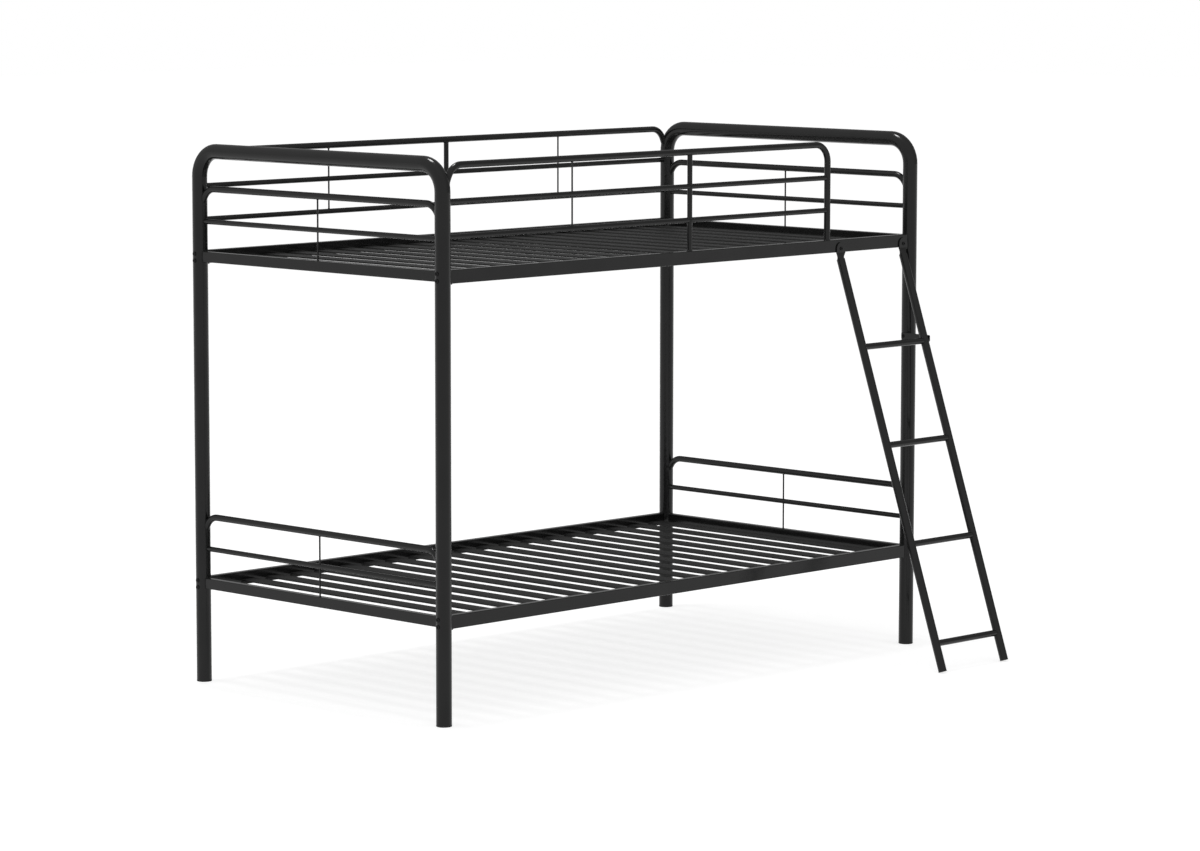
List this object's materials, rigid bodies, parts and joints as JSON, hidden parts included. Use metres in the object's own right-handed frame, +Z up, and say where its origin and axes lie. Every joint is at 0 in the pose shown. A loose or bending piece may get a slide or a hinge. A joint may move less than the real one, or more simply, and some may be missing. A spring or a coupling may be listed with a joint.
{
  "type": "bunk bed with ladder",
  "caption": "Metal bunk bed: bent-tube end frames, slatted decks on bolted side rails, guard rails round the upper deck and a sloping rung ladder at one end.",
  "frame": {"origin": "on the floor, at the middle of the bed and ladder's footprint box", "axes": "+X along the bed from the near end to the ladder end, +Y from the ladder side to the rear, +Z up"},
  "size_m": [1.9996, 1.4721, 1.5662],
  "materials": {
    "frame_black": "satin black powder coat",
    "slat_black": "satin black powder coat, a little duller than the tubes",
    "foot_plastic": "moulded matte black",
    "bolt_black": "black-finished steel fasteners"
  },
  "bodies": {
    "root": {"far_end_frame": "frame_black", "far_lower_curved_bar": "frame_black", "far_lower_end_rail": "frame_black", "far_lower_straight_bar": "frame_black", "far_lower_tie_rod": "frame_black", "far_upper_curved_bar": "frame_black", "far_upper_end_rail": "frame_black", "far_upper_straight_bar": "frame_black", "far_upper_tie_rod": "frame_black", "front_guard_lower_bars": "frame_black", "front_guard_middle_bars": "frame_black", "front_guard_rods": "frame_black", "front_guard_stile": "frame_black", "front_guard_top_tube": "frame_black", "front_lower_side_rail": "frame_black", "front_upper_side_rail": "frame_black", "ladder_feet": "foot_plastic", "ladder_left_stile": "frame_black", "ladder_left_tab": "frame_black", "ladder_right_stile": "frame_black", "ladder_right_tab": "frame_black", "ladder_rung_1": "frame_black", "ladder_rung_2": "frame_black", "ladder_rung_3": "frame_black", "ladder_rung_4": "frame_black", "ladder_strap": "frame_black", "ladder_strap_bolts": "bolt_black", "ladder_tab_bolts": "bolt_black", "ladder_tab_nuts": "bolt_black", "lower_slat_rivets": "bolt_black", "lower_slats": "slat_black", "near_end_frame": "frame_black", "near_lower_curved_bar": "frame_black", "near_lower_end_rail": "frame_black", "near_lower_straight_bar": "frame_black", "near_lower_tie_rod": "frame_black", "near_upper_curved_bar": "frame_black", "near_upper_end_rail": "frame_black", "near_upper_straight_bar": "frame_black", "near_upper_tie_rod": "frame_black", "post_feet": "foot_plastic", "rail_bolts": "bolt_black", "rail_saddles": "frame_black", "rear_guard_lower_bars": "frame_black", "rear_guard_middle_bars": "frame_black", "rear_guard_rods": "frame_black", "rear_guard_stile": "frame_black", "rear_guard_top_tube": "frame_black", "rear_lower_side_rail": "frame_black", "rear_upper_side_rail": "frame_black", "upper_slat_rivets": "bolt_black", "upper_slats": "slat_black"}
  },
  "joints": []
}
